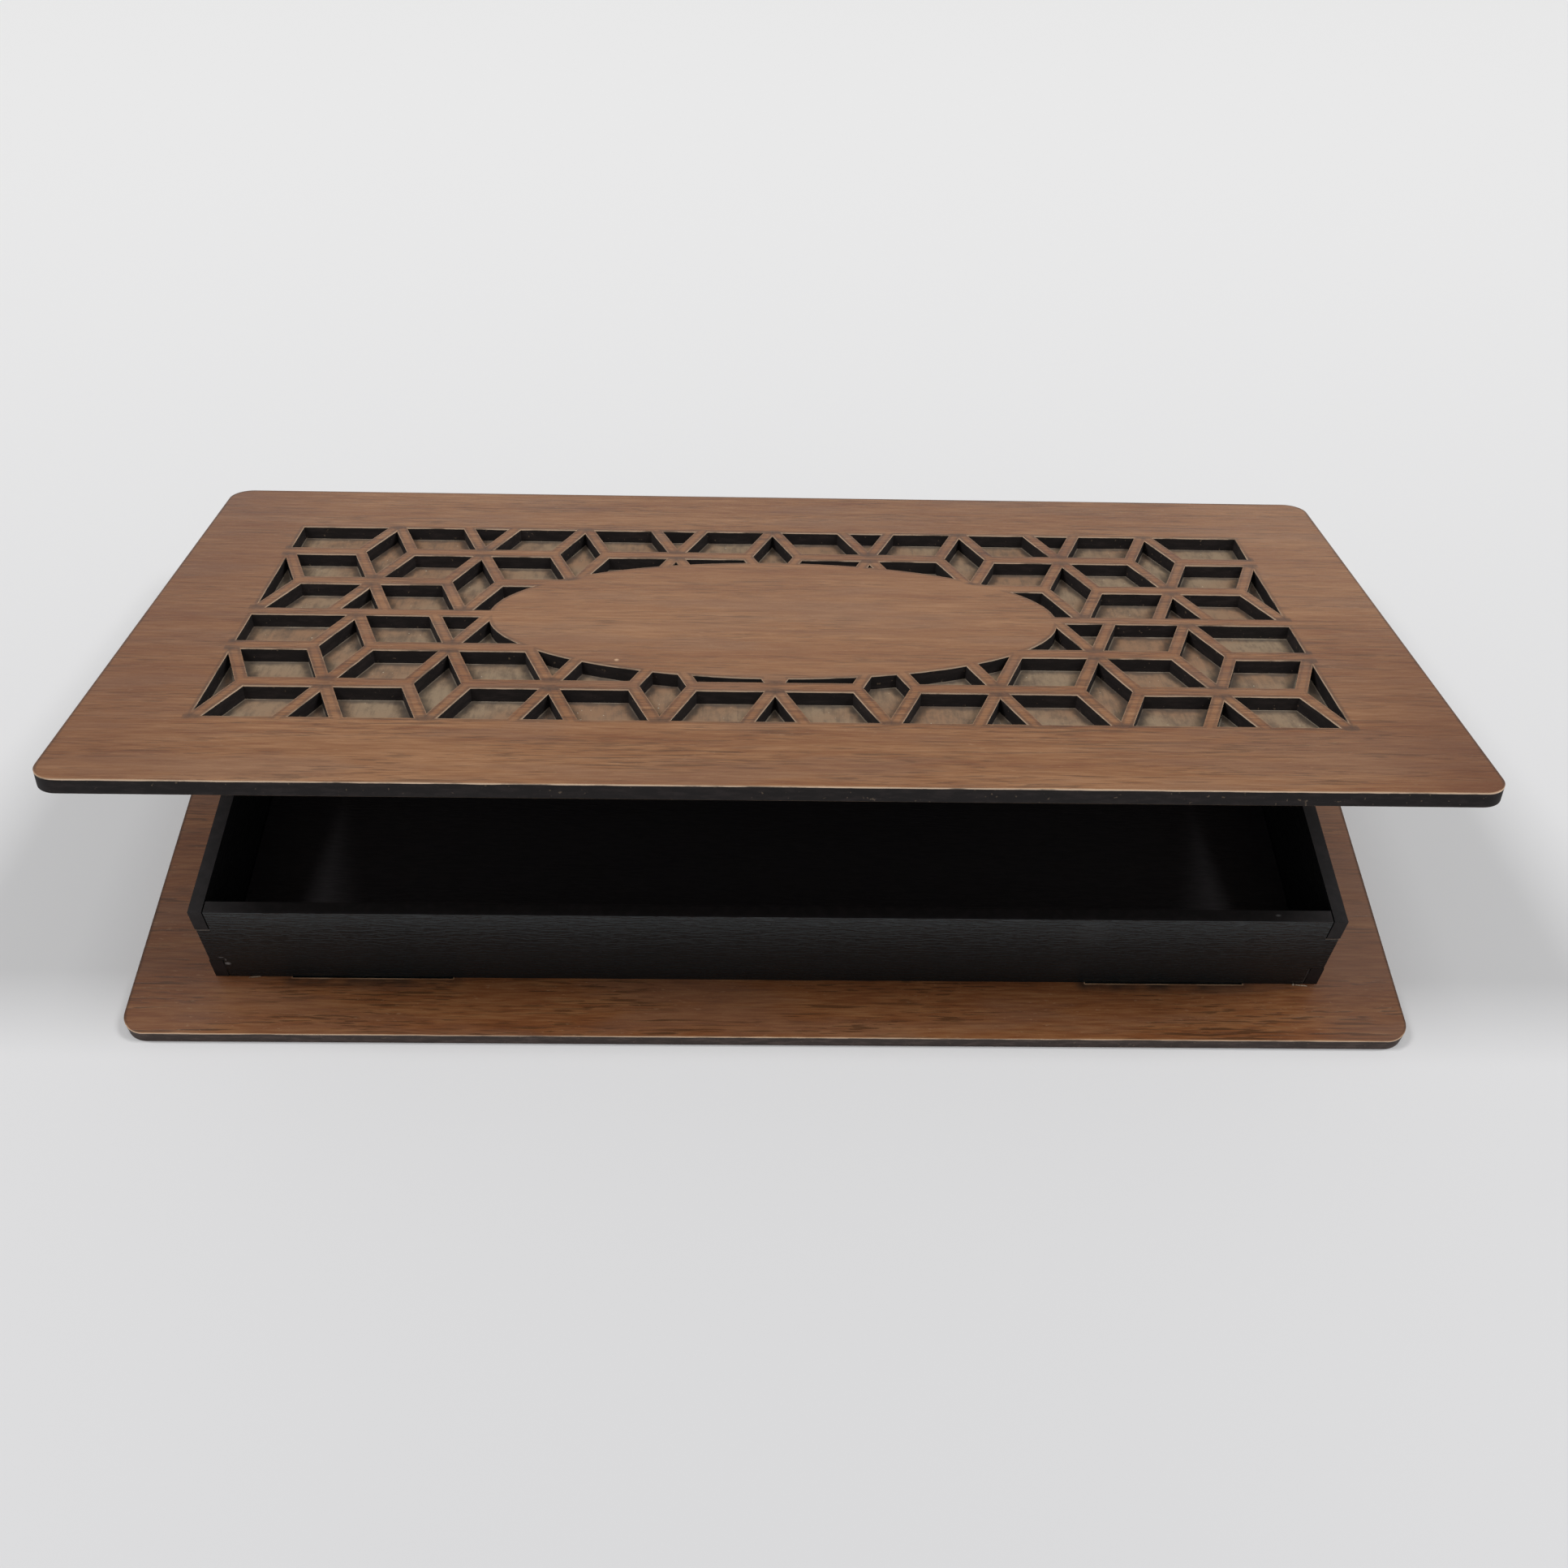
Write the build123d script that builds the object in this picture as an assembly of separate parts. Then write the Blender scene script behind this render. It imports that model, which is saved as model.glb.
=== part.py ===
"""Patterned box: a shallow black tray tabbed into a walnut-faced base plate, under a hinged lid.

The lid is a matching walnut-faced plate cut right through as a lattice of stars and rhombi round a
plain oval, glued over two solid panels. Sizes are in millimetres. +Z is up, +X is to the right and
-Y is the front. The origin is the centre of the base plate's underside, which the box rests on.
The lid's pieces are laid out closed and then turned about the hinge to the opening they stand at.
"""

import os

from build123d import *

# Base and lid plates
plate_width = 300.0
plate_depth = 150.0
plate_thickness = 3.5
plate_corner_radius = 5.5

# Black tray boards, the ledges of base plate round them, and the finger joints at their corners
board_thickness = 3.1
side_ledge = 18.85
front_ledge = 15.7
wall_height = 25.9
end_finger_height = 6.7
shoulder_gap = 0.3
finger_gap = 0.1
finger_shortfall = 0.25
floor_clearance = 0.3

# Tabs under the tray's walls, and the slots in the base plate that they are glued into
tab_length = 37.3
tab_inset = 18.25
tab_recess = 0.2
slot_clearance = 0.3

# Lattice cut into the lid plate, and the plain oval at its middle
node_pitch = 50.0
row_pitch = 17.36
slant_run = 6.8
row_strip_width = 3.8
middle_strip_width = 3.2
slant_strip_width = 2.8
oval_width = 137.0
oval_depth = 61.4
lattice_shift_back = 0.6
columns_each_side = 5
rows_each_side = 3
smallest_opening_area = 0.5

# Lid, as it lies when closed and as it stands
lid_setback = 6.3
panel_inset = 0.6
closed_clearance = 0.3
standing_angle = 17.4

# Butt hinges, set in from the tray's ends, and their screws
hinge_inset = 46.15
hinge_length = 30.0
leaf_width = 11.0
leaf_thickness = 0.8
barrel_radius = 1.5
barrel_count = 5
barrel_gap = 0.3
barrel_clearance = 0.3
pin_radius = 0.7
pin_clearance = 0.05
screw_spacing = 18.0
screw_length = 3.2
screw_radius = 0.8
screw_head_radius = 1.5
screw_head_depth = 0.7
screw_tip_length = 0.8
screw_slot_width = 0.4
screw_slot_depth = 0.3
screw_clearance = 0.04

# Places that follow from the sizes above
tray_width = plate_width - 2 * side_ledge
tray_depth = plate_depth - 2 * front_ledge
tray_foot = plate_thickness
rim_height = tray_foot + wall_height
wall_middle = tray_foot + wall_height / 2
tray_rear = tray_depth / 2
middle_finger_height = wall_height - 2 * end_finger_height
outer_tab = (tray_width - tab_length) / 2 - tab_inset
long_wall_tabs = (-outer_tab, outer_tab)
side_wall_tabs = (0,)
inner_panel_underside = rim_height + closed_clearance
backing_underside = inner_panel_underside + board_thickness
lid_underside = backing_underside + board_thickness
hinge_offset = barrel_radius + barrel_clearance
hinge_y = tray_rear + hinge_offset
hinge_z = lid_underside - hinge_offset
barrel_pitch = hinge_length / barrel_count
screw_drop = (leaf_width + hinge_offset) / 2
outer_hinge = tray_width / 2 - hinge_inset
hinge_places = (-outer_hinge, outer_hinge)

hinge_axis = Axis((0, hinge_y, hinge_z), (-1, 0, 0))


def standing(shape):
    """Turn a piece of the closed lid to the opening at which the lid stands."""
    return shape.rotate(hinge_axis, standing_angle)


def plate_outline():
    """Outline shared by the base plate and the lid plate."""
    return RectangleRounded(plate_width, plate_depth, plate_corner_radius)


# Base plate
def wall_slots():
    """Slots right through the plate, each round one wall's tab with an even clearance."""
    length = tab_length + 2 * slot_clearance
    width = board_thickness + 2 * slot_clearance
    side_wall_x = (tray_width - board_thickness) / 2
    long_wall_y = (tray_depth - board_thickness) / 2
    slots = []
    for side in (-1, 1):
        slots += [Pos(x, side * long_wall_y) * Rectangle(length, width) for x in long_wall_tabs]
        slots += [Pos(side * side_wall_x, y) * Rectangle(width, length) for y in side_wall_tabs]
    return slots


def base_plate():
    return extrude(plate_outline() - wall_slots(), plate_thickness)


# Tray floor and walls
def tray_floor():
    width = tray_width - 2 * (board_thickness + floor_clearance)
    depth = tray_depth - 2 * (board_thickness + floor_clearance)
    return Pos(0, 0, tray_foot) * extrude(Rectangle(width, depth), board_thickness)


def wall_body(length, tab_places):
    """Outline of a wall with its tabs, which end a little above the base plate's underside."""
    tab_reach = plate_thickness - tab_recess
    outline = Rectangle(length, wall_height)
    for place in tab_places:
        outline += Pos(place, -tab_reach / 2) * Rectangle(tab_length, wall_height + tab_reach)
    return outline


def long_wall(end):
    """Front or rear wall: its middle finger ends just short of the side walls' outer faces."""
    shoulder_length = tray_width - 2 * (board_thickness + shoulder_gap)
    finger = Rectangle(tray_width - 2 * finger_shortfall, middle_finger_height)
    outline = wall_body(shoulder_length, long_wall_tabs) + finger
    face = Plane((0, end * tray_depth / 2, wall_middle), x_dir=(-end, 0, 0), z_dir=(0, end, 0))
    return extrude(face * outline, -board_thickness)


def side_wall(side):
    """Left or right wall: it shows its end grain above and below the long walls' middle fingers."""
    outline = wall_body(tray_depth, side_wall_tabs)
    socket = Rectangle(board_thickness, middle_finger_height + 2 * finger_gap)
    for end in (-1, 1):
        outline -= Pos(end * (tray_depth - board_thickness) / 2, 0) * socket
    face = Plane((side * tray_width / 2, 0, wall_middle), x_dir=(0, side, 0), z_dir=(side, 0, 0))
    return extrude(face * outline, -board_thickness)


# Lid plate
def column_x(column):
    return column * node_pitch / 2


def row_y(row):
    return row * row_pitch


def strip(start, end, width):
    """Straight strip of the lattice between two crossings, run on by a quarter of its width at each."""
    run = Vector(*end) - Vector(*start)
    middle = (Vector(*end) + Vector(*start)) / 2
    turn = Rotation(0, 0, Vector(1, 0, 0).get_signed_angle(run, Vector(0, 0, 1)))
    return Pos(middle.X, middle.Y) * turn * Rectangle(run.length + width / 2, width)


def slanted_strips():
    """Zigzags beside each column: they cross at one row's stars and part at the next row."""
    strips = []
    for top_row in (rows_each_side, 0):
        for column in range(-columns_each_side, columns_each_side + 1):
            at_border = abs(column) == columns_each_side
            for step in range(1 if at_border else 0, rows_each_side):
                for side in (-1, 1):
                    spread = slant_run * ((column + step) % 2)
                    next_spread = slant_run - spread
                    start = (column_x(column) + side * spread, row_y(top_row - step))
                    end = (column_x(column) + side * next_spread, row_y(top_row - step - 1))
                    strips.append(strip(start, end, slant_strip_width))
    return strips


def row_strips():
    """Level strips: one right across the middle, and short ones through each row's stars."""
    half_window = column_x(columns_each_side)
    strips = [Rectangle(2 * half_window, middle_strip_width)]
    half_length = node_pitch / 2 - slant_run
    for top_row in (rows_each_side, 0):
        for step in (1, 2):
            for column in range(-columns_each_side, columns_each_side + 1):
                if (column + step) % 2 == 0:
                    place = Pos(column_x(column), row_y(top_row - step))
                    strips.append(place * Rectangle(2 * half_length, row_strip_width))
    return strips


def lattice_openings():
    """Everything inside the lattice's window that is neither strip nor oval."""
    window_width = 2 * column_x(columns_each_side)
    window_depth = 2 * row_y(rows_each_side) - row_strip_width
    openings = Rectangle(window_width, window_depth) - (slanted_strips() + row_strips())
    openings -= Ellipse(oval_width / 2, oval_depth / 2)
    cut = [face for face in openings.faces() if face.area > smallest_opening_area]
    return Pos(0, lattice_shift_back) * (Sketch() + cut)


def lid_lattice_plate():
    face = plate_outline() - lattice_openings()
    plate = Pos(0, lid_setback, lid_underside) * extrude(face, plate_thickness)
    return plate - pilot_holes(moving_side)


def lid_panel(underside):
    """Solid panel under the lid plate, as large as the tray less a small inset."""
    outline = Rectangle(tray_width - 2 * panel_inset, tray_depth - 2 * panel_inset)
    return Pos(0, 0, underside) * extrude(outline, board_thickness)


# Hinges. Each leaf is drawn with the pin along X through the origin, its screwed face towards -Y
# and its plate hanging towards -Z.
def fixed_side(hinge_x):
    return Plane((hinge_x, hinge_y, hinge_z), x_dir=(1, 0, 0), z_dir=(0, 0, 1))


def moving_side(hinge_x):
    return Plane((hinge_x, hinge_y, hinge_z), x_dir=(-1, 0, 0), z_dir=(0, -1, 0))


def rod(radius, length):
    """Cylinder along X, centred on the pin's line."""
    return Rotation(0, 90, 0) * Cylinder(radius, length)


def hinge_leaf(first_barrel):
    """Leaf with every second barrel, from the first one given."""
    plate_height = leaf_width - hinge_offset
    plate_y = -hinge_offset + leaf_thickness / 2
    plate_z = -hinge_offset - plate_height / 2
    leaf = Pos(0, plate_y, plate_z) * Box(hinge_length, leaf_thickness, plate_height)
    for index in range(first_barrel, barrel_count, 2):
        barrel_x = (index + 0.5) * barrel_pitch - hinge_length / 2
        barrel_length = barrel_pitch - barrel_gap
        neck = Box(barrel_length, leaf_thickness, hinge_offset)
        leaf += Pos(barrel_x, plate_y, -hinge_offset / 2) * neck
        leaf += Pos(barrel_x, 0, 0) * rod(barrel_radius, barrel_length)
    leaf -= rod(pin_radius + pin_clearance, 2 * hinge_length)
    return leaf - countersunk_holes()


def hinge_pin():
    return rod(pin_radius, hinge_length)


def screw_body(spare):
    """Countersunk screw, its face at Y 0 and its point towards -Y, or the hole it needs with some spare."""
    head = screw_head_radius + spare
    shank = screw_radius + spare
    end = -screw_length - spare
    half_section = Polyline(
        (0, 0), (head, 0), (shank, -screw_head_depth), (shank, end + screw_tip_length), (0, end), (0, 0)
    )
    return revolve(make_face(half_section), Axis.Y)


def screw_places():
    """Heads lie flush in the leaf's open face, side by side across the middle of its plate."""
    face_y = -hinge_offset + leaf_thickness
    return [Pos(x, face_y, -screw_drop) for x in (-screw_spacing / 2, screw_spacing / 2)]


def countersunk_holes():
    return [place * screw_body(screw_clearance) for place in screw_places()]


def pilot_holes(side_of_hinge):
    """Plain holes for the screws' shanks in the board that both hinges' like leaves lie on."""
    drill = Rotation(90, 0, 0) * Cylinder(
        screw_radius + screw_clearance,
        screw_length + screw_clearance,
        align=(Align.CENTER, Align.CENTER, Align.MIN),
    )
    return [side_of_hinge(x) * place * drill for x in hinge_places for place in screw_places()]


def slotted_screws():
    slot = Box(2 * screw_head_radius, 2 * screw_slot_depth, screw_slot_width)
    return [place * (screw_body(0) - slot) for place in screw_places()]


def screw_group(side_of_hinge):
    """The four screws of both hinges' like leaves, as separate solids."""
    return Compound([side_of_hinge(x) * screw for x in hinge_places for screw in slotted_screws()])


parts = {
    "base_plate": base_plate(),
    "tray_floor": tray_floor(),
    "tray_front_wall": long_wall(-1),
    "tray_rear_wall": long_wall(1) - pilot_holes(fixed_side),
    "tray_left_wall": side_wall(-1),
    "tray_right_wall": side_wall(1),
    "lid_lattice_plate": standing(lid_lattice_plate()),
    "lid_backing_panel": standing(lid_panel(backing_underside)),
    "lid_inner_panel": standing(lid_panel(inner_panel_underside)),
    "tray_leaf_screws": screw_group(fixed_side),
    "lid_leaf_screws": standing(screw_group(moving_side)),
}
for side_name, hinge_x in zip(("left", "right"), hinge_places):
    parts[f"{side_name}_hinge_fixed_leaf"] = fixed_side(hinge_x) * hinge_leaf(0)
    parts[f"{side_name}_hinge_moving_leaf"] = standing(moving_side(hinge_x) * hinge_leaf(1))
    parts[f"{side_name}_hinge_pin"] = fixed_side(hinge_x) * hinge_pin()

os.makedirs("parts", exist_ok=True)
for node, shape in parts.items():
    export_step(shape, f"parts/{node}.step")
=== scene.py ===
"""Patterned box, dressed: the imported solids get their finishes, and beads of dried glue are added.

Everything is in metres in the part's own frame. Sizes given in millimetres are named so. Where a
fade has two figures, it begins at the first and is full at the second.
"""

import math

import bpy
from mathutils import Matrix, Vector


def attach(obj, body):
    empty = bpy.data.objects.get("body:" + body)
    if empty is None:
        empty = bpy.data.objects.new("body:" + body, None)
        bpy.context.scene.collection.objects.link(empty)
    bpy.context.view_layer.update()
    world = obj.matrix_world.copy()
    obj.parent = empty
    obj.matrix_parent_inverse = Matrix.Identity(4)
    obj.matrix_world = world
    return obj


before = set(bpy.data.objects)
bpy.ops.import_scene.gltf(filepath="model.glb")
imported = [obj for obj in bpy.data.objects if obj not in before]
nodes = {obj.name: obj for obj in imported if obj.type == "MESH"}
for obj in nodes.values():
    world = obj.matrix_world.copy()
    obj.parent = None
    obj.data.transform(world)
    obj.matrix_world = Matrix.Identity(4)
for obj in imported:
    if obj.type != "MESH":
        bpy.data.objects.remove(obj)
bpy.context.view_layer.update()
bpy.ops.object.select_all(action="DESELECT")

# The table that the box stands on is a smooth off-white sheet, which runs on out of the picture.
# It is paler towards the back, and far away it glows to the camera, so that it meets the pale room.
table_width = 6.0
table_pale_y = (-0.3, 0.55)
table_near_colour = (0.70, 0.70, 0.71, 1.0)
table_far_colour = (0.885, 0.885, 0.885, 1.0)
far_glow = 0.44
far_glow_reach = (0.5, 3.0)
white = (1.0, 1.0, 1.0, 1.0)


def fill_inputs(tree, node, inputs):
    """Link each socket given to the node's input of that name, and set each value given on it."""
    for name, given in inputs.items():
        if isinstance(given, bpy.types.NodeSocket):
            tree.links.new(given, node.inputs[name])
        else:
            node.inputs[name].default_value = given


def add_node(tree, kind, inputs=None, **settings):
    """New node in a node tree: settings are its own, inputs are values or sockets to link."""
    made = tree.nodes.new(kind)
    for name, value in settings.items():
        setattr(made, name, value)
    fill_inputs(tree, made, inputs or {})
    return made


def calc(tree, operation, first, second=0.0, third=0.0):
    """Output socket of one arithmetic step on values or sockets."""
    step = add_node(tree, "ShaderNodeMath", {0: first, 1: second, 2: third}, operation=operation)
    return step.outputs[0]


def rise(tree, value, low, high, at_low=0.0, at_high=1.0):
    """Smooth step of a socket from one level at low to another at high."""
    step = add_node(
        tree,
        "ShaderNodeMapRange",
        {"Value": value, "From Min": low, "From Max": high, "To Min": at_low, "To Max": at_high},
        interpolation_type="SMOOTHSTEP",
    )
    return step.outputs["Result"]


def times(tree, *factors):
    """Product of two or more values or sockets."""
    product = factors[0]
    for factor in factors[1:]:
        product = calc(tree, "MULTIPLY", product, factor)
    return product


def blend_colour(tree, share, first, second):
    """Second colour over the first, by the share given."""
    mix = add_node(tree, "ShaderNodeMix", {0: share, 6: first, 7: second}, data_type="RGBA")
    return mix.outputs[2]


def new_finish(name):
    """Empty material with its shader, ready for a pattern on Object coordinates."""
    finish = bpy.data.materials.new(name)
    finish.use_nodes = True
    tree = finish.node_tree
    shader = tree.nodes["Principled BSDF"]
    place = add_node(tree, "ShaderNodeTexCoord").outputs["Object"]
    return finish, tree, shader, place


bpy.ops.mesh.primitive_plane_add(size=table_width, location=(0, 0, 0))
table = bpy.context.object
table.name = "table"
finish, tree, shader, place = new_finish("table sheet")
depth = add_node(tree, "ShaderNodeSeparateXYZ", {"Vector": place}).outputs["Y"]
paler = rise(tree, depth, *table_pale_y)
off_middle = add_node(tree, "ShaderNodeVectorMath", {"Vector": place}, operation="LENGTH")
glow = rise(tree, off_middle.outputs["Value"], *far_glow_reach, at_high=far_glow)
seen_straight = add_node(tree, "ShaderNodeLightPath").outputs["Is Camera Ray"]
fill_inputs(
    tree,
    shader,
    {
        "Base Color": blend_colour(tree, paler, table_near_colour, table_far_colour),
        "Roughness": 0.5,
        "Specular IOR Level": 0.3,
        "Emission Color": white,
        "Emission Strength": times(tree, glow, seen_straight),
    },
)
table.data.materials.append(finish)
bpy.ops.object.select_all(action="DESELECT")

# The room is pale all round, with a ceiling panel to each side and a weaker one overhead.
# Glossy surfaces and the camera see the room brighter than it lights the box.
side_panel_lean = math.radians(34.0)
side_panel_distance = 2.2
side_panel_power = 20.2
middle_panel_height = 1.82
middle_panel_power = 3.9
panel_width = 0.60
panel_length = 0.55
panel_shift_back = 0.06
room_light = 0.19
mirrored_room = 0.55
seen_room = 0.72

for name, lean, distance, power in (
    ("ceiling_panel_left", -side_panel_lean, side_panel_distance, side_panel_power),
    ("ceiling_panel_middle", 0.0, middle_panel_height, middle_panel_power),
    ("ceiling_panel_right", side_panel_lean, side_panel_distance, side_panel_power),
):
    bpy.ops.object.light_add(type="AREA")
    panel = bpy.context.object
    panel.name = name
    panel.data.shape = "RECTANGLE"
    panel.data.size = panel_width
    panel.data.size_y = panel_length
    panel.data.energy = power
    panel.location = (distance * math.sin(lean), panel_shift_back, distance * math.cos(lean))
    panel.rotation_euler = (0, lean, 0)
    bpy.ops.object.select_all(action="DESELECT")

room = bpy.data.worlds.new("room")
room.use_nodes = True
bpy.context.scene.world = room
tree = room.node_tree
rays = add_node(tree, "ShaderNodeLightPath")
level = room_light
for kind, brightness in (("Is Glossy Ray", mirrored_room), ("Is Camera Ray", seen_room)):
    level = calc(tree, "MULTIPLY_ADD", rays.outputs[kind], brightness - room_light, level)
fill_inputs(tree, tree.nodes["Background"], {"Color": white, "Strength": level})

# The camera stands in front of the box and looks down on it, turned and rolled a little.
# Its place and its lens were fitted to the corners of the plates and the tray.
camera_place = Vector((-0.00527, -0.26369, 0.32087))
camera_pitch = math.radians(50.086)
camera_yaw = math.radians(1.912)
camera_roll = math.radians(2.046)
camera_lens = 36.077

looking = Vector(
    (
        math.sin(camera_yaw) * math.cos(camera_pitch),
        math.cos(camera_yaw) * math.cos(camera_pitch),
        -math.sin(camera_pitch),
    )
)
level_right = Vector((math.cos(camera_yaw), -math.sin(camera_yaw), 0.0))
level_up = level_right.cross(looking)
camera_right = level_right * math.cos(camera_roll) + level_up * math.sin(camera_roll)
camera_up = level_up * math.cos(camera_roll) - level_right * math.sin(camera_roll)
turn = Matrix((camera_right, camera_up, -looking)).transposed()

bpy.ops.object.camera_add(location=camera_place, rotation=turn.to_euler())
camera = bpy.context.object
camera.data.lens = camera_lens
camera.data.sensor_width = 36.0
camera.data.clip_start = 0.01
camera.data.clip_end = 20.0
bpy.context.scene.camera = camera
bpy.context.scene.view_settings.view_transform = "Standard"
bpy.ops.object.select_all(action="DESELECT")

# The base plate is board with a printed walnut facing, cut by laser. The grain runs along its
# length. The facing has shrunk back from the cuts, and smoke has darkened the face beside them.
plate_half_width_mm = 150.0
plate_half_depth_mm = 75.0
plate_corner_mm = 5.5
plate_thickness_mm = 3.5
facing_thickness_mm = 0.04
underside_reach_mm = 0.01
any_height_mm = 400
front_slot_x_mm = 94.25
front_slot_y_mm = 57.75
side_slot_x_mm = 129.6
slot_half_length_mm = 18.95
slot_half_width_mm = 1.85
walnut_scale = (
    (0.00, (0.100, 0.034, 0.0130, 1.0)),
    (0.35, (0.178, 0.0630, 0.0215, 1.0)),
    (0.65, (0.243, 0.1060, 0.0410, 1.0)),
    (1.00, (0.335, 0.1670, 0.0770, 1.0)),
)
# Each layer of grain has its size along and across the plate in mm, and its share in the tone.
walnut_layers = (((200, 25), 0.5), ((90, 4.5), 0.7), ((18, 1.2), 0.7), ((7, 0.52), 0.9))
walnut_pores = {"size_mm": (7, 0.48), "cluster_mm": (40, 7), "least": 0.55, "share": 0.75}
walnut_lines = {"size_mm": (16, 0.68), "cluster_mm": (60, 8), "least": 0.58, "share": 0.90}
# The flecks are painted highlights: pale specks where the facing's sheen would catch the light.
walnut_sheen_flecks = {"size_mm": (2.0, 0.6), "cluster_mm": (20, 9), "least": 0.64, "share": 0.26}
walnut_fibre_mm = (4.5, 0.5)
walnut_fibre_height = 0.00003
walnut_waviness = 0.15
walnut_smooth = 0.20
walnut_rougher = 0.14
walnut_grey_mm = (45, 9)
walnut_grey_share = 0.35
walnut_grey = (0.180, 0.096, 0.060, 1.0)
walnut_pore = (0.052, 0.022, 0.0085, 1.0)
walnut_sheen_fleck = (0.42, 0.25, 0.14, 1.0)
smoke_brown = (0.042, 0.022, 0.014, 1.0)
pale_rim = (0.62, 0.40, 0.24, 1.0)
# The pale line's bare board is brightened past its own colour, as painted highlight along the top of
# the cut edges.
pale_board_and_highlight = (0.93, 0.69, 0.50, 1.0)
bare_board_dark = (0.20, 0.14, 0.09, 1.0)
bare_board_light = (0.32, 0.235, 0.16, 1.0)
bare_board_grain_mm = (2.4, 0.7, 1.2)
bare_board_rough = 0.78
cut_wander_mm = (3.2, 2.2)
cut_blotch_mm = (9, 7)
cut_waver_mm = 0.7
smoke_full_mm = 0.35
scorch_middle_mm = 0.62
scorch_half_mm = (0.34, 0.04)
scorch_share = 0.20
rim_waver_mm = 0.34
rim_blur_mm = 0.05
outline_wander_mm = (6, 6)
front_edge_y_mm = (-70.5, -74.3)
front_rim_and_highlight_length_mm = (34, 34)
front_rim_and_highlight_waver_mm = 0.3
front_rim_and_highlight_mm = (0.36, 0.26)
edge_smoke_mm = (1.15, 0.55)
edge_smoke_waver_mm = 0.8
edge_smoke_share = 0.60
edge_wander_mm = (9, 9)
edge_soot_mm = (5, 5, 1.2)
edge_speck_mm = (0.9, 0.9, 0.9)
edge_speck_share = 0.35
pale_line_mm = 0.30
pale_line_waver_mm = 0.4
pale_line_blur_mm = (-0.04, 0.06)
base_tone = 0.42
base_mark_share = 0.85
base_edge_dark = (0.060, 0.043, 0.038, 1.0)
base_edge_light = (0.125, 0.090, 0.078, 1.0)
# The greyer ends and the paler right end are painted sheen: the facing's reflection of the bright
# room, put into its colour.
base_end_sheen_grey = (0.150, 0.105, 0.090, 1.0)
base_end_sheen_mm = (126.0, 136.0)
base_end_sheen_share = 0.16
base_right_sheen_pale = (0.380, 0.220, 0.155, 1.0)
base_right_sheen_x_mm = (122.0, 140.0)
base_right_sheen_y_mm = (-67.0, -54.0)
base_right_sheen_share = 0.26


def stretched_noise(tree, place, size_mm, seed, detail=3.0, roughness=0.55, distortion=0.0):
    """Noise whose blotches are as large as size_mm along X, Y and Z."""
    scaled = add_node(
        tree,
        "ShaderNodeMapping",
        {
            "Vector": place,
            "Location": (seed * 3.1, seed * 5.7, seed * 1.3),
            "Scale": tuple(1000.0 / size for size in size_mm),
        },
    )
    noise = add_node(
        tree,
        "ShaderNodeTexNoise",
        {
            "Vector": scaled.outputs["Vector"],
            "Scale": 1.0,
            "Detail": detail,
            "Roughness": roughness,
            "Distortion": distortion,
        },
    )
    return noise.outputs["Fac"]


def face_noise(tree, place, size_mm, seed, **texture):
    """Noise on a plate's face, sized along X and Y and the same at any height."""
    return stretched_noise(tree, place, (*size_mm, any_height_mm), seed, **texture)


def graded(tree, value, stops):
    """Colour read off a scale, whose stops are places from 0 to 1 with their colours."""
    scale = add_node(tree, "ShaderNodeValToRGB", {"Fac": value})
    elements = scale.color_ramp.elements
    elements[0].position = stops[0][0]
    elements[1].position = stops[-1][0]
    for position, colour in stops[1:-1]:
        elements.new(position)
    for element, (position, colour) in zip(elements, stops):
        element.color = colour
    return scale.outputs["Color"]


def dashes(tree, place, seed, size_mm, cluster_mm, least, share):
    """Small marks of one size along the grain, gathered in clusters."""
    marks = face_noise(tree, place, size_mm, seed, detail=2.0, roughness=0.5)
    clusters = face_noise(tree, place, cluster_mm, seed + 1, detail=2.0)
    marks = rise(tree, marks, least, least + 0.06)
    return times(tree, marks, rise(tree, clusters, 0.42, 0.58), share)


def millimetres(tree, place):
    """X, Y and Z of a place, as sockets in millimetres."""
    scaled = add_node(
        tree, "ShaderNodeVectorMath", {"Vector": place, "Scale": 1000.0}, operation="SCALE"
    )
    parts = add_node(tree, "ShaderNodeSeparateXYZ", {"Vector": scaled.outputs["Vector"]})
    return parts.outputs["X"], parts.outputs["Y"], parts.outputs["Z"]


def hypotenuse(tree, first, second):
    """Length of two lengths set square to each other."""
    squares = calc(tree, "MULTIPLY_ADD", first, first, calc(tree, "MULTIPLY", second, second))
    return calc(tree, "SQRT", squares)


def past_rectangle(tree, x, y, half_width, half_depth, corner=0.0):
    """Distance outside a rectangle with round corners, and negative inside it."""
    over_x = calc(tree, "SUBTRACT", calc(tree, "ABSOLUTE", x), half_width - corner)
    over_y = calc(tree, "SUBTRACT", calc(tree, "ABSOLUTE", y), half_depth - corner)
    outside = hypotenuse(
        tree, calc(tree, "MAXIMUM", over_x, 0.0), calc(tree, "MAXIMUM", over_y, 0.0)
    )
    inside = calc(tree, "MINIMUM", calc(tree, "MAXIMUM", over_x, over_y), 0.0)
    return calc(tree, "SUBTRACT", calc(tree, "ADD", outside, inside), corner)


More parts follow.
